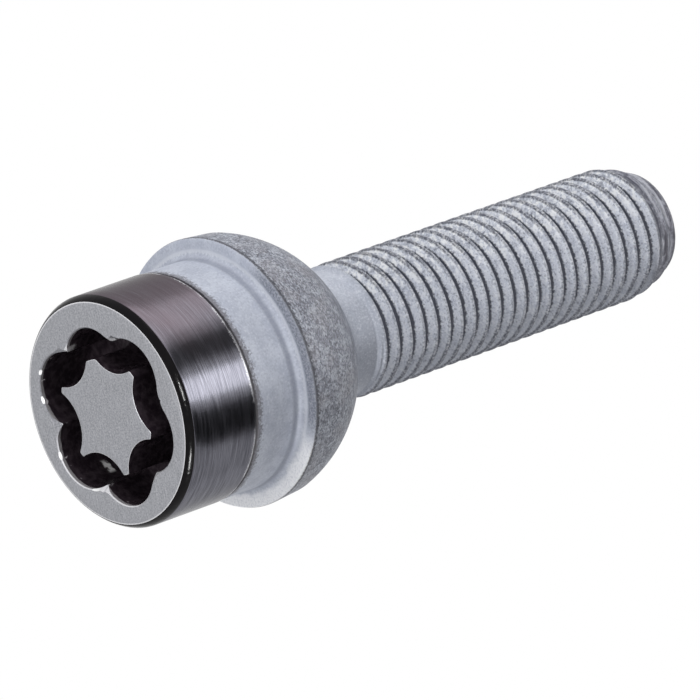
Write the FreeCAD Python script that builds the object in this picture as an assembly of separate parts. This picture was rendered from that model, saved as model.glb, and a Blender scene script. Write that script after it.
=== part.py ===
import FreeCAD, Part
import math
import os
from FreeCAD import Vector

# Locking wheel bolt, M12 x 1.5 with a 12 mm ball seat, forged and turned from one bar.
# It stands on its flat head: the face lies at z = 0 and the shank points up along +Z.
# All sizes are in millimetres.

# head barrel, dark finish
barrel_r = 10.12
face_chamfer_width = 0.44
face_chamfer_length = 0.7
barrel_end_z = 7.8
rear_chamfer = 0.21

# coated collar behind the barrel, and the flange it runs out into
collar_r = 10.05
collar_chamfer = 0.14
collar_fillet_r = 0.6
flange_z = 12.8
rim_r = 11.78
rim_edge = 0.2

# ball seat: a zone of a sphere that centres the bolt in the wheel
seat_ball_r = 12.0
seat_centre_z = 12.39
seat_start_angle = 15.7

# plain neck at the rolling diameter, joined to the seat by a fillet
neck_r = 5.51
neck_fillet_r = 2.0

# threaded shank, drawn at the radius of the thread's crests
crest_r = 5.92
thread_start_z = 25.9
runout_length = 0.6
point_start_z = 59.1
bolt_length = 62.75
point_r = 4.65
point_round_r = 0.3

# key groove: six round lobes about a six-pointed island
short_lobe_reach = 7.4
lobe_reach = 8.1
long_lobe_reach = 8.4
lobe_r = 3.5
cusp_round_r = 0.35
groove_width = 2.7
groove_depth = 5.0
island_waist_r = 3.9
island_hollow_r = 3.5
island_point_round_r = 0.15

# the lobes in turn from +X: one short lobe and two long ones are the key's code
lobe_reaches = (short_lobe_reach, lobe_reach, lobe_reach, lobe_reach, long_lobe_reach, long_lobe_reach)


def polar(radius, angle, z=0.0):
    """A point at a radius and an angle in degrees about the bolt's axis."""
    a = math.radians(angle)
    return Vector(radius * math.cos(a), radius * math.sin(a), z)


def section_point(radius, z):
    """A point of the turned outline, which is drawn in the XZ plane."""
    return Vector(radius, 0, z)


def bulge_point(centre, start, end):
    """The middle of the short arc from start to end about centre."""
    middle = (start + end) / 2 - centre
    return centre + middle.normalize().multiply(centre.distanceToPoint(start))


def line(start, end):
    return Part.LineSegment(start, end).toShape()


def arc(centre, start, end):
    return Part.Arc(start, bulge_point(centre, start, end), end).toShape()


def barrel_outline():
    """Flat face, edge chamfer and barrel, down to the fine line where the dark finish ends."""
    points = [
        section_point(0, 0),
        section_point(barrel_r - face_chamfer_width, 0),
        section_point(barrel_r, face_chamfer_length),
        section_point(barrel_r, barrel_end_z - rear_chamfer),
        section_point(barrel_r - rear_chamfer, barrel_end_z),
        section_point(collar_r, barrel_end_z + collar_chamfer),
    ]
    return [line(a, b) for a, b in zip(points, points[1:])]


def flange_outline(seat_start):
    """Collar, the hollow fillet at its foot, the flange's flat front and its slightly tapered rim."""
    collar_front = section_point(collar_r, barrel_end_z + collar_chamfer)
    collar_foot = section_point(collar_r, flange_z - collar_fillet_r)
    fillet_centre = section_point(collar_r + collar_fillet_r, flange_z - collar_fillet_r)
    flange_root = section_point(collar_r + collar_fillet_r, flange_z)
    rim_front = section_point(rim_r - rim_edge, flange_z)
    rim = section_point(rim_r, flange_z + rim_edge)
    return [
        line(collar_front, collar_foot),
        arc(fillet_centre, collar_foot, flange_root),
        line(flange_root, rim_front),
        line(rim_front, rim),
        line(rim, seat_start),
    ]


def seat_outline(seat_start):
    """Ball seat and the fillet that is tangent to both the ball and the neck."""
    ball_centre = section_point(0, seat_centre_z)
    fillet_r = neck_r + neck_fillet_r
    rise = math.sqrt((seat_ball_r + neck_fillet_r) ** 2 - fillet_r ** 2)
    fillet_centre = section_point(fillet_r, seat_centre_z + rise)
    to_fillet = (fillet_centre - ball_centre).normalize()
    seat_end = ball_centre + to_fillet.multiply(seat_ball_r)
    neck_start = section_point(neck_r, fillet_centre.z)
    thread_start = section_point(neck_r, thread_start_z)
    return [
        arc(ball_centre, seat_start, seat_end),
        arc(fillet_centre, seat_end, neck_start),
        line(neck_start, thread_start),
    ]


def shank_outline():
    """Run-out, crests, tapered point and its rounded end, closed along the axis."""
    taper = math.atan2(crest_r - point_r, bolt_length - point_start_z)
    round_length = point_round_r * math.tan(math.radians(45) - taper / 2)
    point_corner = section_point(point_r, bolt_length)
    up_taper = section_point(crest_r, point_start_z) - point_corner
    round_start = point_corner + up_taper.normalize().multiply(round_length)
    round_end = section_point(point_r - round_length, bolt_length)
    round_centre = section_point(point_r - round_length, bolt_length - point_round_r)
    return [
        line(section_point(neck_r, thread_start_z), section_point(crest_r, thread_start_z + runout_length)),
        line(section_point(crest_r, thread_start_z + runout_length), section_point(crest_r, point_start_z)),
        line(section_point(crest_r, point_start_z), round_start),
        arc(round_centre, round_start, round_end),
        line(round_end, section_point(0, bolt_length)),
        line(section_point(0, bolt_length), section_point(0, 0)),
    ]


def turned_blank():
    """The whole bolt before the key groove is cut, as one turned solid."""
    seat_angle = math.radians(seat_start_angle)
    seat_start_z = seat_centre_z + seat_ball_r * math.sin(seat_angle)
    seat_start = section_point(seat_ball_r * math.cos(seat_angle), seat_start_z)
    edges = barrel_outline() + flange_outline(seat_start) + seat_outline(seat_start) + shank_outline()
    outline = Part.Face(Part.Wire(edges))
    return outline.revolve(Vector(0, 0, 0), Vector(0, 0, 1), 360)


def lobe_angle(lobe):
    return 360.0 / len(lobe_reaches) * lobe


def hollow_angle(hollow):
    """The middle of the island's hollow side between a lobe and the next."""
    return (lobe_angle(hollow) + lobe_angle(hollow + 1)) / 2


def lobe_centre(lobe):
    lobe = lobe % len(lobe_reaches)
    return polar(lobe_reaches[lobe] - lobe_r, lobe_angle(lobe))


def cusp(lobe):
    """Where a lobe's circle meets the next one's, on the side away from the axis."""
    first = lobe_centre(lobe)
    second = lobe_centre(lobe + 1)
    middle = (first + second) / 2
    half_gap = first.distanceToPoint(second) / 2
    outward = Vector(0, 0, 1).cross(second - first).normalize().negative()
    return middle + outward.multiply(math.sqrt(lobe_r ** 2 - half_gap ** 2))


def upright_edges(solid):
    """The straight edges of a prism that run along the bolt's axis."""
    return [e for e in solid.Edges if abs(e.tangentAt(e.FirstParameter).z) > 0.99]


def lobed_pocket():
    """The outer wall of the groove: six lobes with lightly rounded cusps between them."""
    arcs = []
    for lobe in range(len(lobe_reaches)):
        outermost = polar(lobe_reaches[lobe], lobe_angle(lobe))
        arcs.append(Part.Arc(cusp(lobe - 1), outermost, cusp(lobe)).toShape())
    pocket = Part.Face(Part.Wire(arcs)).extrude(Vector(0, 0, groove_depth))
    return pocket.makeFillet(cusp_round_r, upright_edges(pocket))


def island_corner(hollow, lobe):
    """Where a hollow side of the island meets the blunt point that faces a lobe."""
    hollow_centre_r = island_waist_r + island_hollow_r
    point_end_r = lobe_reaches[lobe % len(lobe_reaches)] - groove_width
    cosine = (point_end_r ** 2 + hollow_centre_r ** 2 - island_hollow_r ** 2) / (2 * point_end_r * hollow_centre_r)
    spread = math.degrees(math.acos(cosine))
    side = 1 if lobe > hollow else -1
    return polar(point_end_r, hollow_angle(hollow) + side * spread)


def star_island():
    """The island left standing in the pocket: hollow sides that meet in six blunt points."""
    edges = []
    for lobe in range(len(lobe_reaches)):
        point_end = polar(lobe_reaches[lobe] - groove_width, lobe_angle(lobe))
        waist = polar(island_waist_r, hollow_angle(lobe))
        point_start = island_corner(lobe - 1, lobe)
        hollow_start = island_corner(lobe, lobe)
        hollow_end = island_corner(lobe, lobe + 1)
        edges.append(Part.Arc(point_start, point_end, hollow_start).toShape())
        edges.append(Part.Arc(hollow_start, waist, hollow_end).toShape())
    island = Part.Face(Part.Wire(edges)).extrude(Vector(0, 0, groove_depth))
    return island.makeFillet(island_point_round_r, upright_edges(island))


def wheel_bolt():
    groove = lobed_pocket().cut(star_island())
    return turned_blank().cut(groove)


def main():
    os.makedirs("parts", exist_ok=True)
    bolt = wheel_bolt()
    print("wheel_bolt", bolt.isValid(), "solids", len(bolt.Solids), "volume mm3", round(bolt.Volume, 1))
    bolt.exportStep("parts/wheel_bolt.step")


main()
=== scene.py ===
# %% [markdown]
# # A locking wheel bolt
# A wheel bolt clamps a car wheel to its hub. This one has no hexagon: a wavy groove in its face takes a
# matching key, so that nobody without the key can undo it. The whole bolt is one piece of steel, forged,
# turned and thread-rolled. So it is one mesh here too, with a different finish on each zone. The solid
# that comes from the construction has the true sizes but no thread, and this script adds the thread and
# the finishes.

# %% Load the bolt as it was constructed
import math
from functools import partial

import bmesh
import bpy
from mathutils import Matrix, Vector


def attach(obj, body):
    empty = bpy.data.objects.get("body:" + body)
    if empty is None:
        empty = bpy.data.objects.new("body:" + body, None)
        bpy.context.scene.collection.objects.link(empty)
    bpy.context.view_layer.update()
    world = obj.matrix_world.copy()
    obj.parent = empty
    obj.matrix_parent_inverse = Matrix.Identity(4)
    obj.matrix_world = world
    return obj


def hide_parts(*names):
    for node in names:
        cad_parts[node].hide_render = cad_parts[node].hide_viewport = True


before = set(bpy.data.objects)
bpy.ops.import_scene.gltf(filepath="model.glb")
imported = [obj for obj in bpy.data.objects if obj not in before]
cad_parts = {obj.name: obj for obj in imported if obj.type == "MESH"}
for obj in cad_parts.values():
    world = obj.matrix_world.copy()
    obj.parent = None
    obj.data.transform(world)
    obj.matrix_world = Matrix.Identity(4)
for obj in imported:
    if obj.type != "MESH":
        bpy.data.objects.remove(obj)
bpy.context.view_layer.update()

MM = 0.001

# %% [markdown]
# ## Where the camera stands
# The photograph looks at the head's face and along the shank from far away, through a long lens. The bolt
# stands on its face here, so the same view looks up from below, and the camera is rolled until the shank
# points to the upper right. One matrix could place the camera. It is described by the direction it stands
# in, its roll, its distance and the point it looks at, because those can be read and changed one at a
# time.

# %% Camera
CAMERA_AZIMUTH = 86.4
CAMERA_ELEVATION = -39.75
CAMERA_ROLL = -70.37
CAMERA_DISTANCE = 890.5 * MM
CAMERA_TARGET = Vector((-0.98, 13.44, 16.05)) * MM
CAMERA_LENS = 548.9
CAMERA_NEAR = 0.05
CAMERA_FAR = 10.0


def direction(azimuth, elevation):
    """A unit vector from an azimuth about +Z, counted from +X, and an elevation, both in degrees."""
    a = math.radians(azimuth)
    e = math.radians(elevation)
    return Vector((math.cos(a) * math.cos(e), math.sin(a) * math.cos(e), math.sin(e)))


toward_camera = direction(CAMERA_AZIMUTH, CAMERA_ELEVATION)
level_right = (-toward_camera).cross(Vector((0, 0, 1))).normalized()
level_up = level_right.cross(-toward_camera)
roll = math.radians(CAMERA_ROLL)
picture_up = level_up * math.cos(roll) + level_right * math.sin(roll)
picture_right = (-toward_camera).cross(picture_up)

camera = bpy.data.objects.new("camera", bpy.data.cameras.new("camera"))
camera.data.lens = CAMERA_LENS
camera.data.clip_start = CAMERA_NEAR
camera.data.clip_end = CAMERA_FAR
camera_turn = Matrix((picture_right, picture_up, toward_camera)).transposed().to_4x4()
camera.matrix_world = Matrix.Translation(CAMERA_TARGET + toward_camera * CAMERA_DISTANCE) @ camera_turn
bpy.context.scene.collection.objects.link(camera)
bpy.context.scene.camera = camera
bpy.context.scene.view_settings.view_transform = "Standard"
print("camera at, mm:", [round(c / MM, 1) for c in camera.matrix_world.translation])

# %% [markdown]
# ## Sums on node sockets
# Materials and the thread's node tree both need arithmetic. It could be wired node by node, but then
# nobody can read the formula. So a small class wraps a socket, and each Python operator on it adds the
# Math node for that sum. Every other node comes from one method, which sets the node's settings first and
# then its inputs.


# %% Field and Graph
class Field:
    """An output socket that can take part in a formula."""

    def __init__(self, graph, socket):
        self.graph = graph
        self.socket = socket

    def __add__(self, other):
        return self.graph.math("ADD", self, other)

    def __radd__(self, other):
        return self.graph.math("ADD", other, self)

    def __sub__(self, other):
        return self.graph.math("SUBTRACT", self, other)

    def __rsub__(self, other):
        return self.graph.math("SUBTRACT", other, self)

    def __mul__(self, other):
        return self.graph.math("MULTIPLY", self, other)

    def __rmul__(self, other):
        return self.graph.math("MULTIPLY", other, self)

    def __truediv__(self, other):
        return self.graph.math("DIVIDE", self, other)

    def __pow__(self, other):
        return self.graph.math("POWER", self, other)

    def __abs__(self):
        return self.graph.math("ABSOLUTE", self)

    def least(self, other):
        return self.graph.math("MINIMUM", self, other)

    def most(self, other):
        return self.graph.math("MAXIMUM", self, other)


class Graph:
    """A node tree that is built by calls."""

    def __init__(self, tree):
        self.tree = tree

    def node(self, kind, settings=None, inputs=None, output=0):
        """Adds a node with its settings and inputs, and gives back one of its outputs, or nothing."""
        made = self.tree.nodes.new(kind)
        for name, value in (settings or {}).items():
            setattr(made, name, value)
        for key, value in (inputs or {}).items():
            if isinstance(value, Field):
                self.tree.links.new(value.socket, made.inputs[key])
            else:
                made.inputs[key].default_value = value
        return None if output is None else Field(self, made.outputs[output])

    def math(self, operation, *values):
        """One Math node on numbers or fields."""
        return self.node("ShaderNodeMath", {"operation": operation}, dict(enumerate(values)))

    def ramp(self, value, low, high, at_low=0.0, at_high=1.0, smooth=True):
        """A value that goes from at_low to at_high while the input goes from low to high."""
        kind = "SMOOTHSTEP" if smooth else "LINEAR"
        inputs = {0: value, 1: low, 2: high, 3: at_low, 4: at_high}
        return self.node("ShaderNodeMapRange", {"interpolation_type": kind, "clamp": True}, inputs)


print("Field and Graph are ready")

# %% [markdown]
# ## The turned outline
# A lathe gives the bolt its shape, so the mesh is made the same way: a list of rings along the outline,
# each with a radius and a height. A Screw modifier could spin a curve too, but its rings couldn't change
# from circles into lobes. These are the outline's sizes.

# %% Sizes of the bolt, in millimetres
# the head's barrel, and its face inside the chamfer
BARREL_R = 10.12
FACE_R = 9.68
FACE_CHAMFER = 0.7
BARREL_END_Z = 7.8
REAR_CHAMFER = 0.21

# the collar, and the flange at its foot
COLLAR_R = 10.05
COLLAR_CHAMFER = 0.14
COLLAR_FILLET_R = 0.6
FLANGE_Z = 12.8
RIM_R = 11.78
RIM_EDGE = 0.2

# the ball seat, which starts at an angle in degrees above its centre, and the neck
SEAT_BALL_R = 12.0
SEAT_CENTRE_Z = 12.39
SEAT_START = 15.7
NECK_R = 5.51
NECK_FILLET_R = 2.0

# the threaded shank and its point
CREST_R = 5.92
ROOT_R = 5.08
PITCH = 1.5
THREAD_START_Z = 25.9
RUNOUT_LENGTH = 0.6
POINT_START_Z = 59.1
POINT_R = 4.65
POINT_ROUND = 0.3
BOLT_LENGTH = 62.75

print("full thread, in turns:", round((POINT_START_Z - THREAD_START_Z - RUNOUT_LENGTH) / PITCH, 1))

# %% [markdown]
# ## The key groove
# A key with the same lobes fits this groove, and the lobes that are shorter or longer are its code. The
# groove could be cut out with a Boolean, which leaves long thin faces that shade badly. Both walls are
# seen from the axis as one radius for each direction, so a ring can follow the lobes or the star simply
# by giving its radius as a function of the angle. The outer wall is the largest of six circles, and the
# island is what six circles leave of a disc. A soft maximum or minimum rounds the corner where two
# circles meet.

# %% Radius of each groove wall, by angle
LOBE_REACHES = (7.4, 8.1, 8.1, 8.1, 8.4, 8.4)
LOBE_R = 3.5
CUSP_ROUND = 0.3
GROOVE_WIDTH = 2.7
GROOVE_DEPTH = 5.0
ISLAND_WAIST_R = 3.9
ISLAND_HOLLOW_R = 3.5
ISLAND_POINT_ROUND = 0.2

LOBE_STEP = 2 * math.pi / len(LOBE_REACHES)


def soft_most(a, b, rounding):
    """The larger of two numbers, with the corner between them rounded."""
    h = max(rounding - abs(a - b), 0.0) / rounding
    return max(a, b) + h * h * rounding / 4


def from_middle(angle, middle):
    """The angle from a direction, between minus and plus half a turn."""
    return (angle - middle + math.pi) % (2 * math.pi) - math.pi


def lobed_wall(angle):
    """Radius of the groove's outer wall."""
    reach = 0.0
    for lobe, lobe_reach in enumerate(LOBE_REACHES):
        offset = from_middle(angle, lobe * LOBE_STEP)
        centre_r = lobe_reach - LOBE_R
        chord = LOBE_R ** 2 - (centre_r * math.sin(offset)) ** 2
        if chord > 0:
            far_side = centre_r * math.cos(offset) + math.sqrt(chord)
            reach = soft_most(reach, far_side, CUSP_ROUND)
    return reach


def island_wall(angle):
    """Radius of the star-shaped island."""
    nearest = round(angle / LOBE_STEP) % len(LOBE_REACHES)
    reach = LOBE_REACHES[nearest] - GROOVE_WIDTH
    hollow_centre_r = ISLAND_WAIST_R + ISLAND_HOLLOW_R
    for hollow in range(len(LOBE_REACHES)):
        offset = from_middle(angle, (hollow + 0.5) * LOBE_STEP)
        chord = ISLAND_HOLLOW_R ** 2 - (hollow_centre_r * math.sin(offset)) ** 2
        if chord > 0 and abs(offset) < math.pi / 2:
            near_side = hollow_centre_r * math.cos(offset) - math.sqrt(chord)
            reach = -soft_most(-reach, -near_side, ISLAND_POINT_ROUND)
    return reach


print("groove width at a lobe, mm:", round(lobed_wall(LOBE_STEP) - island_wall(LOBE_STEP), 2))

# %% [markdown]
# ## The groove's worn lip
# The groove's upper edge is broken by a fine facet. Keys have worn it wider at the cusps, and rubbed it
# at a few spots of the lobes. A Bevel modifier would give one width all round. Here the width is one more
# function of the angle, so the wear changes smoothly and the rings stay whole.

# %% Width of the broken edge, by angle
EDGE_BREAK = 0.1
CUSP_WEAR = 0.5
CUSP_WEAR_ANGLE = 0.15
RUB_WEAR = 0.1

# azimuth and half width of each rubbed spot, which the ground face also paints white as a glint, in degrees
LIP_RUBS_AND_GLINTS = ((217, 3.5), (252, 2.5), (287, 2.5), (304, 2))


def outer_lip(angle):
    """Width of the broken edge of the outer wall."""
    from_cusp = min(abs(from_middle(angle, (k + 0.5) * LOBE_STEP)) for k in range(len(LOBE_REACHES)))
    width = EDGE_BREAK + CUSP_WEAR * max(0.0, 1 - from_cusp / CUSP_WEAR_ANGLE) ** 2
    for azimuth, half_width in LIP_RUBS_AND_GLINTS:
        from_rub = abs(from_middle(angle, math.radians(azimuth)))
        width += RUB_WEAR * max(0.0, 1 - (from_rub / math.radians(half_width)) ** 2)
    return width


def outer_lip_radius(share, angle):
    """Radius of the broken edge, from the wall at a share of 0 to the face at a share of 1."""
    return lobed_wall(angle) + outer_lip(angle) * share


def outer_lip_height(share, angle):
    """Height of the broken edge above the face's plane, at the same share."""
    return outer_lip(angle) * (1 - share)


print("lip width at a cusp, mm:", round(outer_lip(LOBE_STEP / 2), 2))
print("lip width at a lobe, mm:", round(outer_lip(LOBE_STEP), 2))

# %% [markdown]
# ## The head, ring by ring
# Each row below is a ring: the zone of the surface that leads up to it, its radius and its height. Either
# may be a number or a function of the angle, such as a wall of the groove. Arcs of the outline are short
# runs of rows. The small steps beside each corner stand for the fine rounding that turning and coating
# leave, and they are what catches the light as a bright line. A Bevel modifier would round every corner
# alike, and here each one is as sharp or as soft as on the real bolt.

# %% Helpers for rows
ZONES = ("ground_face", "groove_black", "barrel_dark", "collar_coat", "seat_rough", "shank_coat")
rows = []


def row(zone, radius, z):
    """One ring. Its radius and its height are numbers, or functions of the angle."""
    rows.append((zone, radius, z))


def wall_row(zone, wall, offset, z):
    """A ring along a wall of the groove, at an offset from it."""
    row(zone, lambda angle: wall(angle) + offset, z)


def arc_rows(zone, centre_r, centre_z, arc_r, start, end, steps):
    """Rows along an arc of the outline, between two angles in degrees above the outward direction."""
    for step in range(1, steps + 1):
        a = math.radians(start + (end - start) * step / steps)
        row(zone, centre_r + arc_r * math.cos(a), centre_z + arc_r * math.sin(a))


print("zones from the face to the point:", ", ".join(ZONES))

# %% Rows of the face and the groove
ISLAND_SHARES = (0.3, 0.6, 0.85)
WALL_SHARES = (0.3, 0.6, 0.9)
INNER_LIP_SHARE = 0.3
OUTER_LIP_SHARES = (0.7, 1.0)
WALL_FOOT = 0.25


def island_share(share, angle):
    """A share of the island's radius."""
    return island_wall(angle) * share


def island_rows():
    for share in ISLAND_SHARES:
        row("ground_face", partial(island_share, share), 0.0)
    wall_row("ground_face", island_wall, -EDGE_BREAK, 0.0)
    wall_row("ground_face", island_wall, -EDGE_BREAK * INNER_LIP_SHARE, EDGE_BREAK * INNER_LIP_SHARE)
    wall_row("groove_black", island_wall, 0.0, EDGE_BREAK)
    for share in WALL_SHARES:
        wall_row("groove_black", island_wall, 0.0, GROOVE_DEPTH * share)
    wall_row("groove_black", island_wall, WALL_FOOT, GROOVE_DEPTH)


def outer_wall_rows():
    wall_row("groove_black", lobed_wall, -WALL_FOOT, GROOVE_DEPTH)
    for share in reversed(WALL_SHARES):
        wall_row("groove_black", lobed_wall, 0.0, GROOVE_DEPTH * share)
    wall_row("groove_black", lobed_wall, 0.0, outer_lip)
    for share in OUTER_LIP_SHARES:
        row("ground_face", partial(outer_lip_radius, share), partial(outer_lip_height, share))


def middle_of_face(angle):
    """Radius halfway between the groove and the chamfer."""
    return (lobed_wall(angle) + FACE_R) / 2


island_rows()
outer_wall_rows()
row("ground_face", middle_of_face, 0.0)
print("rows so far:", len(rows))

# %% Rows of the barrel, flange and seat
# how far the small steps lie from the corners that they soften
FACE_STEP = 0.04
FACE_LIP = 0.03
CHAMFER_MIDDLE_R = FACE_R + 0.26
CHAMFER_MIDDLE_Z = 0.32
COAT_STEP = 0.02
TURNED_STEP = 0.06
REAR_STEP = 0.05
RIM_STEP = 0.04
RIM_ROUND_SHARE = 0.35
SEAT_RIM = 0.3
BARREL_SHARES = (0.25, 0.5, 0.75)
FLANGE_FILLET_STEPS = 6
SEAT_STEPS = 24
NECK_FILLET_STEPS = 8


def barrel_rows():
    row("ground_face", FACE_R - FACE_STEP, 0.0)
    row("groove_black", FACE_R + FACE_LIP, FACE_LIP)
    row("groove_black", CHAMFER_MIDDLE_R, CHAMFER_MIDDLE_Z)
    row("groove_black", BARREL_R - COAT_STEP, FACE_CHAMFER - TURNED_STEP)
    row("barrel_dark", BARREL_R, FACE_CHAMFER + TURNED_STEP)
    for share in BARREL_SHARES:
        row("barrel_dark", BARREL_R, BARREL_END_Z * share)
    row("barrel_dark", BARREL_R, BARREL_END_Z - REAR_CHAMFER - REAR_STEP)
    row("barrel_dark", BARREL_R - REAR_CHAMFER, BARREL_END_Z)


def flange_rows():
    row("collar_coat", COLLAR_R - COAT_STEP, BARREL_END_Z + COLLAR_CHAMFER - COAT_STEP)
    row("collar_coat", COLLAR_R, BARREL_END_Z + COLLAR_CHAMFER + TURNED_STEP)
    foot_z = FLANGE_Z - COLLAR_FILLET_R
    fillet_centre_r = COLLAR_R + COLLAR_FILLET_R
    row("collar_coat", COLLAR_R, (BARREL_END_Z + foot_z) / 2)
    row("collar_coat", COLLAR_R, foot_z)
    arc_rows("collar_coat", fillet_centre_r, foot_z, COLLAR_FILLET_R, 180, 90, FLANGE_FILLET_STEPS)
    row("collar_coat", RIM_R - RIM_EDGE - RIM_STEP, FLANGE_Z)
    row("collar_coat", RIM_R - RIM_EDGE * RIM_ROUND_SHARE, FLANGE_Z + RIM_EDGE * RIM_ROUND_SHARE)
    row("collar_coat", RIM_R, FLANGE_Z + RIM_EDGE + RIM_STEP)


def seat_rows():
    """Rows of the seat and of the fillet that joins it to the neck. Gives back where the neck starts."""
    row("seat_rough", RIM_R - COAT_STEP, FLANGE_Z + RIM_EDGE + SEAT_RIM)
    arc_rows("seat_rough", 0, SEAT_CENTRE_Z, SEAT_BALL_R, SEAT_START, SEAT_START, 1)
    fillet_centre_r = NECK_R + NECK_FILLET_R
    rise = math.sqrt((SEAT_BALL_R + NECK_FILLET_R) ** 2 - fillet_centre_r ** 2)
    seat_end = math.degrees(math.atan2(rise, fillet_centre_r))
    arc_rows("seat_rough", 0, SEAT_CENTRE_Z, SEAT_BALL_R, SEAT_START, seat_end, SEAT_STEPS)
    neck_z = SEAT_CENTRE_Z + rise
    arc_rows("shank_coat", fillet_centre_r, neck_z, NECK_FILLET_R, 180 + seat_end, 180, NECK_FILLET_STEPS)
    return neck_z


barrel_rows()
flange_rows()
NECK_Z = seat_rows()
print("rows of the head:", len(rows), "neck starts at, mm:", round(NECK_Z, 2))

# %% [markdown]
# ## The thread
# The thread is rolled into the shank between dies. A Screw modifier could turn one profile into it, but
# its ends would stop as raw steps. A thread is a rule: the surface rises by one pitch in each turn, and
# across the pitch it has a crest, two flanks and a root. Geometry Nodes can wrap a flat grid round the
# shank by that rule. The grid's rows run along the helix, so every crest and root edge lies on a row and
# stays crisp with few faces. The same rule takes in the run-out at the neck, where the groove fades, and
# the tapered point, and its last rows close the end of the bolt.

# %% Sizes of the thread
SHANK_SEGMENTS = 128
ROWS_PER_PITCH = 16

# places across one pitch, as shares of it from the crest's middle
THREAD_PHASE = -0.17
CREST_HALF = 1 / 16
ROOT_FROM = 3 / 8

# how the groove starts, how deep the nicks are and what is left of the thread on the point, in millimetres
GROOVE_FADE = 1.1
NICK_DEPTH = 0.035
POINT_GROOVE = 0.25
POINT_RIDGE = 0.14

# where the thread fades out on the point, as shares of a pitch before the end
POINT_FADE_FROM = 0.6
POINT_FADE_TO = 0.3

NICKS_PER_METRE = 1800.0
MERGE_DISTANCE = 1e-7

THREAD_INPUTS = {
    "Pitch": PITCH * MM,
    "Crest Radius": CREST_R * MM,
    "Root Radius": ROOT_R * MM,
    "Neck Radius": NECK_R * MM,
    "Point Radius": POINT_R * MM,
    "Neck Z": NECK_Z * MM,
    "Thread Start Z": THREAD_START_Z * MM,
    "Runout Length": RUNOUT_LENGTH * MM,
    "Groove Fade": GROOVE_FADE * MM,
    "Point Start Z": POINT_START_Z * MM,
    "Point Round": POINT_ROUND * MM,
    "End Z": BOLT_LENGTH * MM,
    "Phase": THREAD_PHASE,
    "Nick Depth": NICK_DEPTH * MM,
    "Point Groove": POINT_GROOVE * MM,
    "Point Ridge": POINT_RIDGE * MM,
}
print("thread inputs:", len(THREAD_INPUTS))


# %% Thread outline
def runout_radius(graph, size, z):
    """Radius of the cone that leads from the neck up to the crests."""
    start = size["Thread Start Z"]
    return graph.ramp(z, start, start + size["Runout Length"], size["Neck Radius"], size["Crest Radius"])


def thread_radius(graph, size, from_crest, fade):
    """Radius across one pitch. The groove is as deep as fade says."""
    crest = size["Crest Radius"]
    profile = graph.ramp(from_crest, CREST_HALF, ROOT_FROM, crest, size["Root Radius"], smooth=False)
    return crest - (crest - profile) * fade


def point_radius(graph, size, z, from_crest):
    """Radius of the tapered point, with the last of the thread's ridges and grooves on it."""
    start = size["Point Start Z"]
    end = size["End Z"]
    taper = graph.ramp(z, start, end, size["Crest Radius"], size["Point Radius"], smooth=False)
    rounding = graph.ramp(z, end - size["Point Round"], end, 0.0, 1.0, smooth=False)
    taper = taper - rounding * rounding * size["Point Round"] * 0.5
    fade_start = end - size["Pitch"] * POINT_FADE_FROM
    fade_end = end - size["Pitch"] * POINT_FADE_TO
    threaded = graph.ramp(z, start, start + size["Pitch"]) * graph.ramp(z, fade_start, fade_end, 1.0, 0.0)
    in_root = graph.ramp(from_crest, CREST_HALF * 2, ROOT_FROM, smooth=False)
    on_ridge = graph.ramp(from_crest, CREST_HALF / 2, CREST_HALF * 2, 1.0, 0.0)
    return taper - in_root * threaded * size["Point Groove"] + on_ridge * threaded * size["Point Ridge"]


print("thread depth, mm:", round(CREST_R - ROOT_R, 2))


# %% Thread node tree
def empty_tree(name, inputs):
    """A node tree for geometry with named inputs."""
    tree = bpy.data.node_groups.new(name, "GeometryNodeTree")
    tree.interface.new_socket("Geometry", in_out="OUTPUT", socket_type="NodeSocketGeometry")
    for input_name, value in inputs.items():
        socket = tree.interface.new_socket(input_name, in_out="INPUT", socket_type="NodeSocketFloat")
        socket.default_value = value
    return tree


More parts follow.
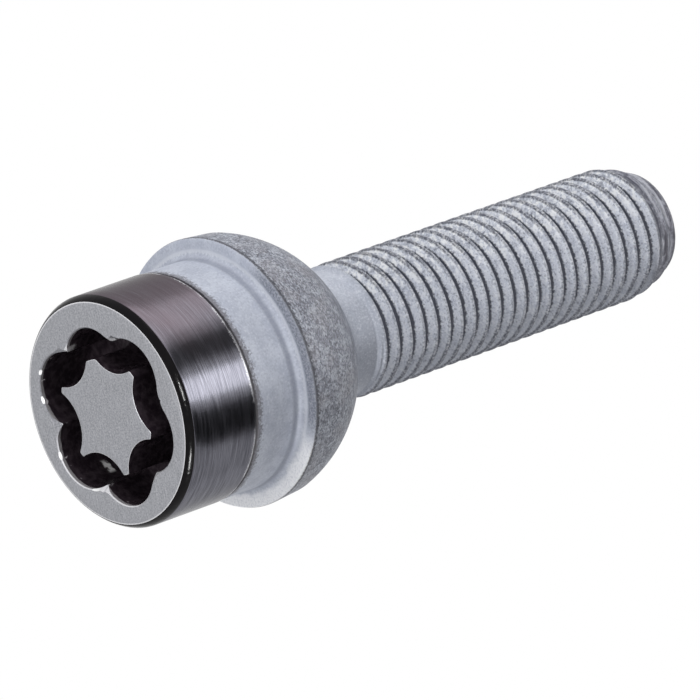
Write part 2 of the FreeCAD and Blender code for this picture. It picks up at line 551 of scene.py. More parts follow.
def thread_tree(material):
    """A node tree that makes the shank, from the neck to the closed end of the point."""
    tree = empty_tree("rolled_thread", THREAD_INPUTS)
    graph = Graph(tree)
    group = tree.nodes.new("NodeGroupInput")
    size = {name: Field(graph, group.outputs[name]) for name in THREAD_INPUTS}

    # the last rows run one pitch past the end, to close it
    pitches = math.ceil((BOLT_LENGTH - NECK_Z) / PITCH + 2)
    grid = graph.node("GeometryNodeMeshGrid", {}, {
        "Size X": 1.0, "Size Y": 1.0,
        "Vertices X": SHANK_SEGMENTS + 1, "Vertices Y": pitches * ROWS_PER_PITCH + 1})
    place = graph.node("GeometryNodeInputPosition")
    across = graph.node("ShaderNodeSeparateXYZ", {}, {0: place}, "X") + 0.5
    along = (graph.node("ShaderNodeSeparateXYZ", {}, {0: place}, "Y") + 0.5) * float(pitches)

    height = size["Neck Z"] + size["Pitch"] * (along + across - 1.0)
    z = height.most(size["Neck Z"]).least(size["End Z"])
    past_end = ((height - size["End Z"]) / size["Pitch"]).most(0.0).least(1.0)
    turn_share = along - size["Phase"]
    from_crest = abs(turn_share - graph.math("FLOOR", turn_share) - 0.5)
    angle = across * (2 * math.pi)
    cosine = graph.math("COSINE", angle)
    sine = graph.math("SINE", angle)

    fade = graph.ramp(z, size["Thread Start Z"], size["Thread Start Z"] + size["Groove Fade"])
    outline = thread_radius(graph, size, from_crest, fade).least(runout_radius(graph, size, z))
    outline = outline.least(point_radius(graph, size, z, from_crest))
    crest = size["Crest Radius"]
    on_crests = graph.node("ShaderNodeCombineXYZ", {}, {"X": cosine * crest, "Y": sine * crest, "Z": z})
    nicks = graph.node("ShaderNodeTexNoise", {}, {
        "Vector": on_crests, "Scale": NICKS_PER_METRE, "Detail": 3.0}, "Fac")
    nicked = outline - (nicks - 0.5).most(0.0) * fade * size["Nick Depth"] * 2.0
    radius = nicked * (1.0 - past_end)

    wrapped = graph.node("ShaderNodeCombineXYZ", {}, {"X": radius * cosine, "Y": radius * sine, "Z": z})
    shaped = graph.node("GeometryNodeSetPosition", {}, {"Geometry": grid, "Position": wrapped})
    joined = graph.node("GeometryNodeMergeByDistance", {}, {"Geometry": shaped, "Distance": MERGE_DISTANCE})
    realized = graph.node("GeometryNodeRealizeInstances", {}, {"Geometry": joined})
    finished = graph.node("GeometryNodeSetMaterial", {}, {"Geometry": realized, "Material": material})
    output = tree.nodes.new("NodeGroupOutput")
    tree.links.new(finished.socket, output.inputs["Geometry"])
    return tree


def plain_mesh_from(tree, inputs, name):
    """Runs a node tree on an empty object and keeps the result as an ordinary mesh."""
    carrier = bpy.data.objects.new(name, bpy.data.meshes.new(name))
    bpy.context.scene.collection.objects.link(carrier)
    modifier = carrier.modifiers.new("nodes", "NODES")
    modifier.node_group = tree
    for item in tree.interface.items_tree:
        if item.in_out == "INPUT":
            modifier[item.identifier] = inputs[item.name]
    depsgraph = bpy.context.evaluated_depsgraph_get()
    mesh = bpy.data.meshes.new_from_object(carrier.evaluated_get(depsgraph), depsgraph=depsgraph)
    carrier.modifiers.remove(modifier)
    bpy.data.objects.remove(carrier)
    return mesh


print("rows of the thread's grid in one turn:", ROWS_PER_PITCH)

# %% [markdown]
# ## Finishes
# The bolt has six finishes, one for each zone. They could be painted on an unwrapped picture. Here each
# is worked out from noise, in Object coordinates and in millimetres, so that a pattern keeps its real
# size and has no seam. The height along the bolt and the distance from its axis say where a point is: on
# a crest, in a groove or beside the coating's edge. Wear lies more on some sides than on others, and so
# does the light and shade that some finishes have painted in, so one helper gives the side that faces an
# azimuth.


# %% Material helpers
def tone(red, green, blue):
    """A colour as a picture shows it, 0 to 255, as the linear numbers that a node takes."""
    shares = [c / 255 for c in (red, green, blue)]
    return tuple(c / 12.92 if c <= 0.04045 else ((c + 0.055) / 1.055) ** 2.4 for c in shares)


def colour(value):
    """A colour for a socket: a link stays as it is, and three numbers get an alpha of 1."""
    return value if isinstance(value, Field) else (*value, 1.0)


class Paint(Graph):
    """A material that starts with no nodes."""

    def __init__(self, name):
        self.material = bpy.data.materials.new(name)
        self.material.use_nodes = True
        super().__init__(self.material.node_tree)
        self.tree.nodes.clear()

    def show(self, shader):
        """Links a shader to the material's output."""
        self.node("ShaderNodeOutputMaterial", {}, {"Surface": shader}, None)
        return self.material


class Finish(Paint):
    """A material with its coordinates at hand, in millimetres."""

    def __init__(self, name):
        super().__init__(name)
        self.place = self.node("ShaderNodeTexCoord", {}, {}, "Object")
        self.x = self.node("ShaderNodeSeparateXYZ", {}, {0: self.place}, "X") / MM
        self.y = self.node("ShaderNodeSeparateXYZ", {}, {0: self.place}, "Y") / MM
        self.z = self.node("ShaderNodeSeparateXYZ", {}, {0: self.place}, "Z") / MM
        self.radius = (self.x * self.x + self.y * self.y) ** 0.5

    def noise(self, size, detail=3.0, roughness=0.5, stretch=(1, 1, 1), turn=0.0):
        """Noise whose grains are about size millimetres, longer along each turned axis by its stretch."""
        scale = tuple(MM * size * s for s in stretch)
        mapping = {"Vector": self.place, "Rotation": (0, 0, math.radians(turn)), "Scale": scale}
        vector = self.node("ShaderNodeMapping", {"vector_type": "TEXTURE"}, mapping)
        inputs = {"Vector": vector, "Scale": 1.0, "Detail": detail, "Roughness": roughness}
        return self.node("ShaderNodeTexNoise", {}, inputs, "Fac")

    def band(self, value, low, high, soft):
        """1 where a value lies between two limits, with soft ends."""
        above_low = self.ramp(value, low - soft, low + soft)
        return above_low * self.ramp(value, high - soft, high + soft, 1.0, 0.0)

    def facing(self, azimuth, full, gone):
        """1 on the side that faces an azimuth, up to full degrees away, and 0 from gone degrees away."""
        a = math.radians(azimuth)
        toward = (self.x * math.cos(a) + self.y * math.sin(a)) / self.radius
        return self.ramp(toward, math.cos(math.radians(gone)), math.cos(math.radians(full)))

    def blend(self, share, first, second):
        """A colour between two colours."""
        inputs = {0: share, 6: colour(first), 7: colour(second)}
        return self.node("ShaderNodeMix", {"data_type": "RGBA"}, inputs, 2)

    def bump(self, height, depth, before=None):
        """A normal from a height between 0 and 1 that stands for a depth in millimetres."""
        inputs = {"Height": height, "Strength": 1.0, "Distance": depth * MM}
        if before is not None:
            inputs["Normal"] = before
        return self.node("ShaderNodeBump", {}, inputs)

    def surface(self, **inputs):
        """The material, from inputs of the Principled shader with _ for each space."""
        named = {name.replace("_", " "): value for name, value in inputs.items()}
        return self.show(self.node("ShaderNodeBsdfPrincipled", {}, named))


finishes = {}


def keep_finish(material):
    """Lists a material under its zone and says how many nodes it took."""
    finishes[material.name] = material
    print(material.name, "nodes:", len(material.node_tree.nodes))


print("a mid grey as a node takes it:", [round(c, 3) for c in tone(128, 128, 128)])

# %% [markdown]
# ## Ground face
# The face and the top of the island are ground flat, so they are grey with very fine straight lines. The
# lines could be drawn one by one, but a noise stretched along one direction has their uneven look for one
# node. It is used once fine, and once coarser for the few deeper scratches. A bright line is painted along
# the face's outer edge, partly wear and partly its highlight. The groove's lip is pale at the cusps and on
# the island, where keys wear it. It is painted pale on the low side as the highlight that it catches there,
# and painted white at the rubbed spots as glints.

# %% Ground face
# depths behind the face at which the broken edge begins to show, and shows in full
LIP_FROM_Z = 0.004
LIP_FULL_Z = 0.02

# radii between the island's points and the outer wall's cusps, where neither wall is
ISLAND_SIDE_R = 5.9
OUTER_SIDE_R = 6.1

# the outer wall is a cusp up to the first of these radii, and a lobe from the second
CUSP_FULL_R = 6.7
CUSP_GONE_R = 7.0

LIP_HIGHLIGHT_AZIMUTH = 200


def ground_face():
    f = Finish("ground_face")
    lines = f.noise(0.11, detail=4, roughness=0.65, stretch=(12, 1, 1), turn=5)
    scratches = f.noise(0.2, detail=2, stretch=(14, 1, 1), turn=14)
    grain = f.noise(0.16, detail=4, roughness=0.7)
    shade = f.blend(f.ramp(lines, 0.34, 0.66), tone(139, 141, 146), tone(160, 161, 167))
    shade = f.blend(f.ramp(scratches, 0.58, 0.72, 0.0, 0.4), shade, tone(182, 182, 187))
    shade = f.blend(f.ramp(grain, 0.34, 0.5, 0.9, 0.0), shade, tone(124, 125, 130))
    shade = f.blend(f.ramp(grain, 0.5, 0.66, 0.0, 0.75), shade, tone(180, 180, 185))
    # a bright line painted along the face's outer edge, partly wear and partly the edge's highlight
    edge = f.ramp(f.radius + lines * 0.1, FACE_R - 0.12, FACE_R - 0.04)
    shade = f.blend(edge * 0.9, shade, tone(226, 226, 230))

    lip = f.ramp(f.z, LIP_FROM_Z, LIP_FULL_Z)
    outer = f.ramp(f.radius, ISLAND_SIDE_R, OUTER_SIDE_R)
    cusp = f.ramp(f.radius, CUSP_FULL_R, CUSP_GONE_R, 1.0, 0.0) * outer
    # the outer lip on the low side is painted pale as the highlight that it catches
    lit_low_side = f.facing(LIP_HIGHLIGHT_AZIMUTH, 45, 75) * outer
    pale = cusp.most(lit_low_side * 0.9).most((1.0 - outer) * 0.8)
    lip_shade = f.blend(pale, tone(112, 112, 118), tone(224, 224, 228))
    shade = f.blend(lip * (0.6 + pale * 0.35), shade, lip_shade)
    # white glints painted on the lip at the rubbed spots
    for azimuth, half_width in LIP_RUBS_AND_GLINTS:
        painted_glint = f.facing(azimuth, half_width * 0.7, half_width) * f.ramp(grain, 0.3, 0.4) * outer
        shade = f.blend(lip * painted_glint, shade, tone(250, 250, 251))

    normal = f.bump(scratches, 0.004, f.bump(lines, 0.005))
    rough = f.ramp(lines, 0.3, 0.7, 0.36, 0.48) - lip * 0.1
    return f.surface(Base_Color=shade, Metallic=0.5 - edge * 0.3, Roughness=rough, Normal=normal)


keep_finish(ground_face())

# %% [markdown]
# ## Black groove and chamfer
# The groove and the chamfer round the face keep the black, slightly wet-looking finish of the hardened
# head. A dark metal would mirror too much of the white room. It is a smooth dark coat, so a low specular
# level and a low roughness do it, and a soft bump breaks up the glints. The key rubs the upper rim of the
# walls lighter. The cusps are painted pale, partly as the key's wear and partly as their glints, and small
# bright chips are painted glints. Deep on one wall lies one more painted glint.

# %% Black groove and chamfer
GROOVE_END_R = 9.0
CHAMFER_FROM_R = 9.3
WALL_GLINT_AZIMUTH = 236
WALL_GLINT_FROM_Z = 3.7
WALL_GLINT_TO_Z = 4.15


def groove_black():
    f = Finish("groove_black")
    smear = f.noise(0.6, detail=3)
    wet = f.noise(0.35, detail=2)
    flecks = f.noise(0.6, detail=2)
    shade = f.blend(f.ramp(smear, 0.35, 0.7), tone(38, 31, 37), tone(62, 54, 60))
    chamfer = f.ramp(f.radius, CHAMFER_FROM_R, CHAMFER_FROM_R + 0.2)
    shade = f.blend(chamfer, shade, tone(9, 7, 10))

    in_groove = f.ramp(f.radius, GROOVE_END_R, GROOVE_END_R + 0.2, 1.0, 0.0)
    outer_wall = f.ramp(f.radius, ISLAND_SIDE_R, OUTER_SIDE_R) * in_groove
    lead_in = f.band(f.z + (smear - 0.5) * 0.25, 0.03, 0.4, 0.05) * outer_wall
    # cusps painted pale, partly as the key's wear and partly as their glints, and small chips painted
    # bright as glints
    at_cusp = f.band(f.radius + (wet - 0.5) * 0.3, 6.0, 6.75, 0.08)
    cusp_wear_and_glint = at_cusp * f.ramp(f.z + wet, 1.0, 1.9, 1.0, 0.0)
    painted_glints = f.ramp(flecks, 0.66, 0.7) * f.ramp(f.z, 0.5, 0.8, 1.0, 0.0) * outer_wall
    bright = (lead_in * 0.45).most(cusp_wear_and_glint * 0.9).most(painted_glints)
    shade = f.blend(bright, shade, tone(222, 219, 223))
    # one glint painted white deep on one wall
    painted_wall_glint = f.band(f.z + (flecks - 0.5) * 0.9, WALL_GLINT_FROM_Z, WALL_GLINT_TO_Z, 0.12)
    painted_wall_glint = painted_wall_glint * f.facing(WALL_GLINT_AZIMUTH, 2, 6) * outer_wall
    shade = f.blend(painted_wall_glint, shade, tone(255, 255, 255))

    rough = f.ramp(smear, 0.3, 0.7, 0.14, 0.24) + bright * 0.14 - chamfer * 0.04
    normal = f.bump(wet * (1.0 - chamfer * 0.7), 0.05)
    return f.surface(Base_Color=shade, Metallic=bright * 0.3, Roughness=rough, Specular_IOR_Level=0.1,
                     Normal=normal)


keep_finish(groove_black())

# %% [markdown]
# ## Dark turned barrel
# The barrel is turned and darkened, but still metal: it mirrors the lamps as long bands along the axis,
# drawn out by the fine turning lines. Real grooves would take too many faces. A noise that is stretched
# along X and Y but not along Z gives rings that follow the barrel. The tint drifts from grey to a warmer
# brown towards +X, the upper side: partly a heat-made oxide, partly a painted warm reflection of the top
# light. The rear edge has a broken bright line, partly rubbed metal and partly a painted highlight.


# %% Dark turned barrel
def barrel_dark():
    f = Finish("barrel_dark")
    lines = f.noise(0.08, detail=5, roughness=0.7, stretch=(40, 40, 1))
    streaks = f.noise(0.22, detail=3, stretch=(16, 16, 1))
    tint = f.noise(5.0, detail=2)
    specks = f.noise(0.1, detail=2)
    rubs = f.noise(2.2, detail=3)
    shade = f.blend(f.ramp(lines, 0.34, 0.66), tone(76, 76, 83), tone(112, 112, 120))
    # a warmer brown towards +X, the upper side: partly oxide tint, partly a painted warm reflection of the
    # top light
    oxide_and_warm_reflection = f.ramp(f.x + tint * 8.0, 5.0, 12.0)
    shade = f.blend(oxide_and_warm_reflection * 0.65, shade, tone(102, 89, 95))
    shade = f.blend(f.ramp(streaks, 0.55, 0.8, 0.0, 0.3), shade, tone(126, 125, 132))
    # a broken bright line at the rear edge, partly rubbed metal and partly a painted highlight of the edge
    rub_and_highlight = f.ramp(f.z + (specks - 0.5) * 0.6, BARREL_END_Z - 0.42, BARREL_END_Z - 0.3)
    rub_and_highlight = rub_and_highlight * f.ramp(rubs, 0.4, 0.52, 0.15, 1.0)
    shade = f.blend(rub_and_highlight * 0.85, shade, tone(206, 206, 211))
    rough = f.ramp(streaks, 0.3, 0.7, 0.17, 0.23)
    return f.surface(Base_Color=shade, Metallic=0.95 - rub_and_highlight * 0.6, Roughness=rough,
                     Specular_Tint=(0.55, 0.55, 0.55, 1.0), Normal=f.bump(lines, 0.006))


keep_finish(barrel_dark())

# %% [markdown]
# ## Matte coating of the collar and flange
# Zinc flake paint is matte and pale blue-grey. Where the dark finish of the barrel ends it leaves a
# ragged smudge, and a dark line beside it is painted shade in the notch between barrel and collar. The
# foot of the collar is painted darker as the fillet's shade, and the flange's front has a painted
# highlight along the fillet. Towards the rim, one side of it is painted nearly white as a pool of light,
# and the next one has a grey band, painted shade that is mottled where the coating is thin. A dark ragged
# line along the rim is painted shade at the seat's start. Rings of different materials could give these
# zones, but with straight edges. So each of them is a mask from the height or the radius, roughened by a
# noise.

# %% Matte coating of the collar and flange
LIT_WEDGE_AZIMUTH = 170
SHADED_BAND_AZIMUTH = 86


def collar_coat():
    f = Finish("collar_coat")
    fine = f.noise(0.2, detail=4, roughness=0.6)
    cloud = f.noise(1.6, detail=3)
    specks = f.noise(0.2, detail=3, roughness=0.7)
    reach = f.noise(1.1, detail=2)
    shade = f.blend(f.ramp(cloud, 0.35, 0.7), tone(172, 177, 191), tone(187, 192, 204))
    shade = f.blend(f.ramp(fine, 0.52, 0.7, 0.0, 0.6), shade, tone(204, 208, 216))
    shade = f.blend(f.ramp(fine, 0.32, 0.48, 0.5, 0.0), shade, tone(152, 156, 169))

    smudge = f.ramp(f.z - BARREL_END_Z + (specks - 0.5) * 1.6 - reach * 0.9, -0.2, 0.3, 1.0, 0.0)
    shade = f.blend(smudge * 0.85, shade, tone(104, 102, 109))
    # a dark line painted as shade in the notch where the barrel meets the collar
    notch_shade = f.ramp(f.z + (specks - 0.5) * 0.2, BARREL_END_Z + 0.08, BARREL_END_Z + 0.18, 1.0, 0.0)
    shade = f.blend(notch_shade, shade, tone(38, 36, 42))
    # the collar's foot painted darker as the shade of the fillet
    foot_shade = f.band(f.z, FLANGE_Z - 0.9, FLANGE_Z - 0.25, 0.2)
    shade = f.blend(foot_shade * 0.6, shade, tone(122, 126, 139))

    on_flange = f.ramp(f.z, FLANGE_Z - 0.3, FLANGE_Z - 0.1)
    # a highlight painted along the fillet
    fillet_highlight = f.band(f.radius + (fine - 0.5) * 0.4, COLLAR_R + 0.44, COLLAR_R + 0.78, 0.12)
    shade = f.blend(fillet_highlight * on_flange * 0.5, shade, tone(220, 223, 230))
    # a pool of light painted nearly white on the flange's lower side
    light_wedge = f.ramp(f.radius + reach, 10.8, 11.4) * f.ramp(fine, 0.3, 0.6, 0.6, 1.0) * on_flange
    light_wedge = light_wedge * f.facing(LIT_WEDGE_AZIMUTH, 32, 46) * 0.95
    shade = f.blend(light_wedge, shade, tone(250, 251, 254))
    # a grey band painted as shade on the flange's right side, mottled where the coating is thin
    shaded_thin_band = f.ramp(f.radius + (specks - 0.5) * 0.5, 10.75, 11.05) * on_flange
    shaded_thin_band = shaded_thin_band * f.facing(SHADED_BAND_AZIMUTH, 30, 44) * 0.7
    shaded_band_colour = f.blend(f.ramp(specks, 0.42, 0.6), tone(84, 88, 100), tone(142, 146, 158))
    shade = f.blend(shaded_thin_band, shade, shaded_band_colour)
    # a dark ragged line painted along the rim as the shade at the seat's start
    rim = f.ramp(f.z + (specks - 0.5) * 0.4, FLANGE_Z + 0.1, FLANGE_Z + 0.24)
    shade = f.blend(rim * 0.9, shade, tone(72, 71, 77))
    return f.surface(Base_Color=shade, Metallic=0.12, Roughness=0.58, Specular_IOR_Level=0.3,
                     Normal=f.bump(fine, 0.015))


keep_finish(collar_coat())

# %% [markdown]
# ## Rough ball seat
# The seat is grit-blasted and coated thinly, so it is pitted and mottled, and toward the neck the streaks
# of turning show through. The pits could be real dents, but they are only a fifth of a millimetre wide,
# which is work for bump. Three noises are mixed into one texture that drives the colour and the bump
# together: a pit is then dark and deep in the same place.

# %% Rough ball seat
STREAKS_FROM_Z = 17.5
STREAKS_FULL_Z = 21.5


def seat_rough():
    f = Finish("seat_rough")
    pits = f.noise(0.18, detail=4, roughness=0.7, stretch=(1.4, 1.4, 1))
    patch = f.noise(0.9, detail=4, roughness=0.65)
    fleck = f.noise(0.15, detail=2)
    turned = f.noise(0.22, detail=4, roughness=0.6, stretch=(8, 8, 1))
    stain = f.noise(2.6, detail=3)
    to_neck = f.ramp(f.z, STREAKS_FROM_Z, STREAKS_FULL_Z)
    texture = pits * (0.82 - to_neck * 0.35) + turned * (0.1 + to_neck * 0.35) + patch * 0.08
    shade = f.blend(f.ramp(texture, 0.42, 0.5), tone(98, 100, 110), tone(148, 152, 163))
    shade = f.blend(f.ramp(texture, 0.5, 0.6), shade, tone(190, 194, 205))
    shade = f.blend(f.ramp(patch, 0.4, 0.56, 0.42, 0.0), shade, tone(108, 109, 119))
    shade = f.blend(f.ramp(patch, 0.54, 0.68, 0.0, 0.4), shade, tone(186, 190, 200))
    shade = f.blend(f.ramp(stain, 0.45, 0.62, 0.0, 0.2) * (1.0 - to_neck), shade, tone(148, 142, 144))
    shade = f.blend(f.ramp(fleck, 0.64, 0.74, 0.0, 0.7), shade, tone(218, 219, 223))
    shade = f.blend(f.ramp(fleck, 0.26, 0.36, 0.7, 0.0), shade, tone(92, 90, 97))
    shade = f.blend(to_neck * 0.5, shade, tone(110, 115, 129))
    shade = f.blend(f.ramp(turned, 0.4, 0.5, 0.6, 0.0) * to_neck, shade, tone(84, 87, 99))
    # a dark ragged line painted by the rim as the shade at the seat's start
    rim = f.ramp(f.z + (pits - 0.5) * 0.8, FLANGE_Z + 0.3, FLANGE_Z + 0.62, 1.0, 0.0)
    shade = f.blend(rim * 0.9, shade, tone(62, 63, 71))
    return f.surface(Base_Color=shade, Metallic=0.15, Roughness=0.58, Specular_IOR_Level=0.3,
                     Normal=f.bump(texture, 0.06, f.bump(fleck, 0.01)))


keep_finish(seat_rough())

# %% [markdown]
# ## Coated neck, thread and point
# The same coating covers the shank. It is thick on the flanks and dark on the crests, partly worn and
# partly painted shade beside them, and the roots are painted dark as shade. Each could have a material of
# its own, but then the borders would be as sharp as the faces. So the distance from the axis finds the
# roots, and the rule of the helix, worked out again from the place, finds the crests. The upper side is
# worn in patches and painted lighter, with white patches as its highlight, and the neck is painted
# darker as the seat's shade. On the side that faces the camera the crests' painted shade is lighter, and
# the lowest side is painted darker as shade. On the point the thread fades and the coating thins to dark
# steel with rings of turning.

# %% Coated neck, thread and point
# the sides, as azimuths: the upper one, worn and painted lighter where lit, the one that faces the
# camera, where the crests' painted shade is lighter, and the lowest, painted darker as shade
WORN_AND_LIT_AZIMUTH = 25
FRONT_AZIMUTH = 95
SHADED_AZIMUTH = 170

# radii between which the painted shade in the roots ends
ROOT_FULL_R = 5.17
ROOT_GONE_R = 5.33


def across_thread(f):
    """Where a point lies across its thread: 0 on a crest, and half a pitch either way in a root."""
    angle = f.math("ARCTAN2", f.y, f.x)
    turns = f.z / PITCH - angle / (2 * math.pi) - (NECK_Z / PITCH + THREAD_PHASE)
    return turns - f.math("FLOOR", turns) - 0.5


def shank_coat():
    f = Finish("shank_coat")
    fine = f.noise(0.2, detail=4, roughness=0.7)
    cloud = f.noise(1.3, detail=3)
    patches = f.noise(0.36, detail=4, roughness=0.7, stretch=(1.8, 1.8, 1))
    rings = f.noise(0.3, detail=3, stretch=(12, 12, 1))
    from_crest = abs(across_thread(f))
    worn_and_lit_side = f.facing(WORN_AND_LIT_AZIMUTH, 15, 65)
    front_side = f.facing(FRONT_AZIMUTH, 20, 50)
    neck = f.ramp(f.z + fine * 0.6, THREAD_START_Z + 0.8, THREAD_START_Z + 1.3, 1.0, 0.0)
    threaded = f.ramp(f.z, THREAD_START_Z + 0.3, THREAD_START_Z + 0.9)
    on_point = f.ramp(f.z, POINT_START_Z + 0.1, POINT_START_Z + 0.8)
    flat_end = f.ramp(f.z, BOLT_LENGTH - 0.06, BOLT_LENGTH - 0.02)

    # the coating: smoother on the neck and painted darker there as the seat's shade, less on the lit upper
    # side, and patchy on the upper side, with white patches painted as its highlight
    grain = 1.0 - neck * 0.55
    shade = f.blend(f.ramp(cloud, 0.35, 0.7), tone(200, 205, 218), tone(216, 220, 231))
    shade = f.blend(neck * (0.9 - worn_and_lit_side * 0.4), shade, tone(152, 157, 170))
    shade = f.blend(f.ramp(fine, 0.5, 0.66, 0.0, 0.8) * grain, shade, tone(234, 236, 240))
    shade = f.blend(f.ramp(fine, 0.34, 0.46, 0.8, 0.0) * grain, shade, tone(130, 134, 146))
    # the lowest side painted darker as shade
    shade = f.blend(f.facing(SHADED_AZIMUTH, 20, 60) * 0.28, shade, tone(120, 124, 138))
    patchy = (0.15 + worn_and_lit_side * 0.85) * threaded
    shade = f.blend(f.ramp(patches, 0.46, 0.6, 0.0, 0.9) * patchy, shade, tone(250, 251, 253))
    shade = f.blend(f.ramp(patches, 0.36, 0.46, 0.5, 0.0) * patchy, shade, tone(120, 123, 135))

    # dark crests, partly worn and partly painted shade beside them, and roots painted dark as shade
    crest = f.ramp(from_crest + (fine - 0.5) * 0.06 + front_side * 0.045, 0.11, 0.165, 1.0, 0.0)
    crest = crest * threaded * f.ramp(fine, 0.44, 0.6, 1.0, 0.5)
    # the crests' painted shade is lighter on the side that faces the camera
    shade = f.blend(crest * (0.92 - front_side * 0.37), shade, tone(70, 73, 85))
    root = f.ramp(f.radius + (fine - 0.5) * 0.45, ROOT_FULL_R, ROOT_GONE_R, 1.0, 0.0)
    root = root * threaded * (1.0 - on_point)
    before_end = f.ramp(f.z, BOLT_LENGTH - 1.6, BOLT_LENGTH - 0.9, 1.0, 0.0)
    point_root_shade = f.ramp(from_crest + (fine - 0.5) * 0.2, 0.2, 0.3) * on_point * before_end
    shade = f.blend(root.most(point_root_shade * 0.8), shade, tone(56, 59, 72))

    # the point, where the coating thins, and its bare end
    shade = f.blend(on_point * 0.5, shade, tone(100, 102, 114))
    shade = f.blend(f.ramp(rings, 0.42, 0.5, 0.75, 0.0) * on_point, shade, tone(66, 67, 80))
    bare = f.ramp(f.z + patches * 1.6, BOLT_LENGTH - 1.9, BOLT_LENGTH - 1.1)
    past_ridge = f.ramp(f.z, BOLT_LENGTH - 1.0, BOLT_LENGTH - 0.6)
    bare = bare * f.ramp(from_crest + past_ridge, 0.05, 0.1, 0.25, 1.0)
    end_shade = f.blend(f.ramp(patches, 0.36, 0.64), tone(84, 83, 95), tone(158, 159, 170))
    end_shade = f.blend(f.ramp(rings, 0.4, 0.48, 0.85, 0.0), end_shade, tone(58, 56, 68))
    end_shade = f.blend(f.ramp(rings, 0.54, 0.64, 0.0, 0.7), end_shade, tone(190, 192, 200))
    flat_shade = f.blend(f.ramp(fine, 0.38, 0.6), tone(104, 104, 115), tone(160, 162, 172))
    end_shade = f.blend(flat_end, end_shade, flat_shade)
    shade = f.blend(bare * 0.95, shade, end_shade)

    turned_rings = f.bump(rings * on_point * (1.0 - flat_end), 0.04)
    return f.surface(Base_Color=shade, Metallic=0.12, Roughness=0.55, Specular_IOR_Level=0.35,
                     Normal=f.bump(fine, 0.035, turned_rings))


keep_finish(shank_coat())

# %% [markdown]
# ## One closed mesh
# The bolt is one piece of steel, so its mesh is closed. A head and a shank that only touch would be
# quicker to make, but they would show a seam at the neck. The head's rings are joined by quads, with a
# fan at the middle of the island, and the shank comes from the node tree. The head needs three times as
# many points round it as the shank, so each face of the joining band takes three steps of the head's last
# ring and one step of the shank's first.

# %% Helpers for the mesh
HEAD_SEGMENTS = 384
SAME_HEIGHT = 1e-6


def ring_points(mesh, radius, z):
    """The points of one ring, in order round the axis from +X."""
    points = []
    for segment in range(HEAD_SEGMENTS):
        angle = 2 * math.pi * segment / HEAD_SEGMENTS
        r = radius(angle) if callable(radius) else radius
        height = z(angle) if callable(z) else z
        points.append(mesh.verts.new((r * math.cos(angle) * MM, r * math.sin(angle) * MM, height * MM)))
    return points


def add_head(mesh):
    """Adds the head's rows to the mesh and gives back its last ring."""
    middle = mesh.verts.new((0, 0, 0))
    before = None
    for zone, radius, z in rows:
        ring = ring_points(mesh, radius, z)
        for i in range(HEAD_SEGMENTS):
            j = (i + 1) % HEAD_SEGMENTS
            if before is None:
                corners = (middle, ring[j], ring[i])
            else:
                corners = (before[i], before[j], ring[j], ring[i])
            mesh.faces.new(corners).material_index = ZONES.index(zone)
        before = ring
    return before


def first_shank_ring(mesh):
    """The shank's points at the neck, in order round the axis from +X."""
    half_step = math.pi / SHANK_SEGMENTS
    at_neck = [p for p in mesh.verts if abs(p.co.z - NECK_Z * MM) < SAME_HEIGHT and p.is_boundary]
    at_neck.sort(key=lambda p: (math.atan2(p.co.y, p.co.x) + half_step) % (2 * math.pi))
    return at_neck


def join_shank(mesh, head_ring, shank_ring):
    """Closes the band between the head's last ring and the shank's first."""
    steps = HEAD_SEGMENTS // SHANK_SEGMENTS
    for i in range(SHANK_SEGMENTS):
        j = (i + 1) % SHANK_SEGMENTS
        head_points = [head_ring[(i * steps + k) % HEAD_SEGMENTS] for k in range(steps, -1, -1)]
        face = mesh.faces.new([shank_ring[i], shank_ring[j], *head_points])
        face.material_index = ZONES.index("shank_coat")


print("steps of the head for one of the shank:", HEAD_SEGMENTS // SHANK_SEGMENTS)

# %% Head and shank in one mesh
SHARP_ANGLE = 32

mesh = bmesh.new()
mesh.from_mesh(plain_mesh_from(thread_tree(finishes["shank_coat"]), THREAD_INPUTS, "shank"))
for face in mesh.faces:
    face.material_index = ZONES.index("shank_coat")
shank_ring = first_shank_ring(mesh)
print("points at the neck:", len(shank_ring))
join_shank(mesh, add_head(mesh), shank_ring)
bmesh.ops.recalc_face_normals(mesh, faces=mesh.faces)
open_edges = [e for e in mesh.edges if not e.is_manifold]
bolt_mesh = bpy.data.meshes.new("wheel_bolt_body")
mesh.to_mesh(bolt_mesh)
mesh.free()
for zone in ZONES:
    bolt_mesh.materials.append(finishes[zone])
bolt_mesh.shade_smooth()
bolt_mesh.set_sharp_from_angle(angle=math.radians(SHARP_ANGLE))
bolt = bpy.data.objects.new("wheel_bolt_body", bolt_mesh)
bpy.context.scene.collection.objects.link(bolt)
triangles = sum(len(p.vertices) - 2 for p in bolt_mesh.polygons)
print("triangles:", triangles, "open edges:", len(open_edges))

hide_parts("wheel_bolt")
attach(bolt, "root")

# %% [markdown]
# ## Floor and world
# The background of the photograph is plain white. More light on it would also wash out the bolt, so the
# world is white only for the camera, mirrors and glass, and gives a softer light otherwise. The floor is
# pale and takes the bolt's shadow, and a little glow that only such direct rays see keeps it from looking
# grey. It is seen only from above, because the photograph's camera looks at the bolt's face from under
# it.

# %% Floor and world
FLOOR_HALF = 0.6
FLOOR_GAP = 0.02
FLOOR_SHADE = 0.9
FLOOR_GLOW = 0.36
WORLD_LIGHT = 0.42


def seen_directly(graph):
    """1 for a ray that shows the background itself, to the camera, in a mirror or through glass."""
    seen = graph.node("ShaderNodeLightPath", {}, {}, "Is Camera Ray")
    for kind in ("Is Glossy Ray", "Is Transmission Ray"):
        seen = seen.most(graph.node("ShaderNodeLightPath", {}, {}, kind))
    return seen


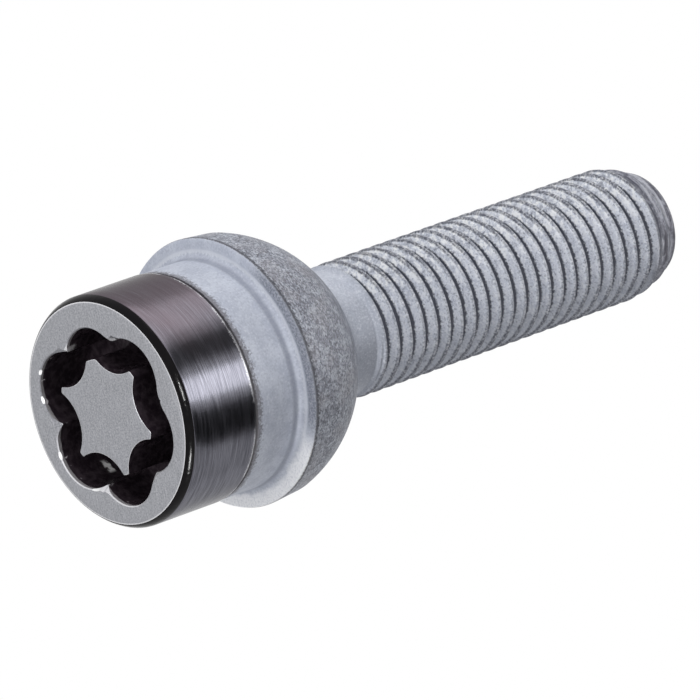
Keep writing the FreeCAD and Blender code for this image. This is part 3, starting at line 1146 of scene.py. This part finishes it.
def sheet_mesh(name, half_width, half_height, material):
    """A flat rectangle about the origin, in metres."""
    mesh = bpy.data.meshes.new(name)
    corners = [(-half_width, -half_height, 0), (half_width, -half_height, 0),
               (half_width, half_height, 0), (-half_width, half_height, 0)]
    mesh.from_pydata(corners, [], [(0, 1, 2, 3)])
    mesh.materials.append(material)
    return mesh


def floor_paint():
    """Matte from above, a little brighter where it is seen directly, and clear from below."""
    paint = Paint("pale_floor")
    shade = (FLOOR_SHADE, FLOOR_SHADE, FLOOR_SHADE, 1)
    matte = paint.node("ShaderNodeBsdfDiffuse", {}, {"Color": shade})
    glow = paint.node("ShaderNodeEmission", {}, {"Strength": FLOOR_GLOW})
    glowing = paint.node("ShaderNodeAddShader", {}, {0: matte, 1: glow})
    above = paint.node("ShaderNodeMixShader", {}, {0: seen_directly(paint), 1: matte, 2: glowing})
    below = paint.node("ShaderNodeBsdfTransparent")
    from_below = paint.node("ShaderNodeNewGeometry", {}, {}, "Backfacing")
    return paint.show(paint.node("ShaderNodeMixShader", {}, {0: from_below, 1: above, 2: below}))


def floor():
    made = bpy.data.objects.new("floor", sheet_mesh("floor", FLOOR_HALF, FLOOR_HALF, floor_paint()))
    bpy.context.scene.collection.objects.link(made)
    made.location.z = -FLOOR_GAP * MM
    made.visible_shadow = False
    made.visible_diffuse = False
    made.visible_glossy = False


def white_world():
    world = bpy.data.worlds.new("white_world")
    world.use_nodes = True
    bpy.context.scene.world = world
    graph = Graph(world.node_tree)
    graph.tree.nodes.clear()
    strength = graph.ramp(seen_directly(graph), 0.0, 1.0, WORLD_LIGHT, 1.0, smooth=False)
    background = graph.node("ShaderNodeBackground", {}, {"Color": (1, 1, 1, 1), "Strength": strength})
    graph.node("ShaderNodeOutputWorld", {}, {"Surface": background}, None)


floor()
white_world()
print("world light on the bolt:", WORLD_LIGHT)

# %% [markdown]
# ## Lamps and cards
# A shiny barrel is lit by what it mirrors: soft boxes give its bright bands, and dark cards between them
# give its black ones. A picture of a studio as the world could do the same, but lamps can be moved one by
# one. The place of each was found from the direction that the barrel mirrors at that band. Lamps that
# should only draw a band or a glint don't light matte surfaces, and the one that should only fill isn't
# mirrored. The two narrow lamps give the glints on the chamfer. The cards aren't seen by the camera and
# cast no shadow.

# %% Helpers for lamps and cards
LIGHT_MIDDLE = Vector((0, 6, 8)) * MM
ACROSS = (1, 0, 0)
UPRIGHT = (0, 1, 0)
TOWARD = (0, 0, 1)


def in_picture(right, up, toward):
    """A direction given by the picture's right and up and by the way toward the camera."""
    return (picture_right * right + picture_up * up + toward_camera * toward).normalized()


def face_bolt(made, aim, distance, along):
    """Stands an object off in a direction, its width along another direction and its front to the bolt."""
    back = in_picture(*aim)
    upward = back.cross(in_picture(*along)).normalized()
    turn = Matrix((upward.cross(back), upward, back)).transposed().to_4x4()
    made.matrix_world = Matrix.Translation(LIGHT_MIDDLE + back * distance * MM) @ turn
    bpy.context.scene.collection.objects.link(made)


def soft_lamp(name, aim, distance, along, size, brightness, matte=True, mirrored=True):
    """A soft box. Its brightness is what it adds, seen in a mirror, to a white of 1."""
    lamp = bpy.data.lights.new(name, "AREA")
    lamp.shape = "RECTANGLE"
    lamp.size = size[0] * MM
    lamp.size_y = size[1] * MM
    lamp.energy = brightness * math.pi * lamp.size * lamp.size_y
    made = bpy.data.objects.new(name, lamp)
    face_bolt(made, aim, distance, along)
    made.visible_diffuse = matte
    made.visible_glossy = mirrored


def dark_card(name, aim, distance, along, size, shade):
    """A dark sheet that a shiny surface shows as a dark band."""
    paint = Paint(name)
    paint.show(paint.node("ShaderNodeBsdfDiffuse", {}, {"Color": (shade, shade, shade, 1)}))
    made = bpy.data.objects.new(name, sheet_mesh(name, size[0] / 2 * MM, size[1] / 2 * MM, paint.material))
    face_bolt(made, aim, distance, along)
    made.visible_camera = False
    made.visible_shadow = False


print("lamps stand about, mm:", [round(c / MM) for c in LIGHT_MIDDLE])

# %% Lamps and cards
soft_lamp("top_box", (0.24, 0.93, 0.04), 330, ACROSS, (210, 320), 1.2, matte=False)
soft_lamp("top_fill", (-0.1, 0.85, 0.45), 420, ACROSS, (320, 320), 3.6, mirrored=False)
soft_lamp("side_strip", (0.955, 0.25, 0.14), 350, TOWARD, (420, 114), 4.1, matte=False)
soft_lamp("left_fill", (-0.72, -0.16, 0.68), 420, ACROSS, (240, 240), 3.4)
soft_lamp("end_fill", (0.6, 0.5, -0.6), 420, UPRIGHT, (200, 200), 0.4)
soft_lamp("low_back", (0.3, -0.5, -0.8), 380, ACROSS, (260, 220), 0.3, matte=False)
soft_lamp("front_glint", (0.242, 0.024, 0.97), 507, (0.28, -0.95, -0.12), (130, 56), 110.0, matte=False)
soft_lamp("low_glint", (0.304, -0.823, 0.48), 408, (-0.2, -0.49, -0.85), (120, 40), 110.0, matte=False)
dark_card("upper_card", (0.74, 0.66, 0.05), 350, TOWARD, (460, 116), 0.16)
dark_card("lower_card", (0.966, -0.245, 0.02), 360, TOWARD, (460, 160), 0.01)
print("lamps:", len(bpy.data.lights))
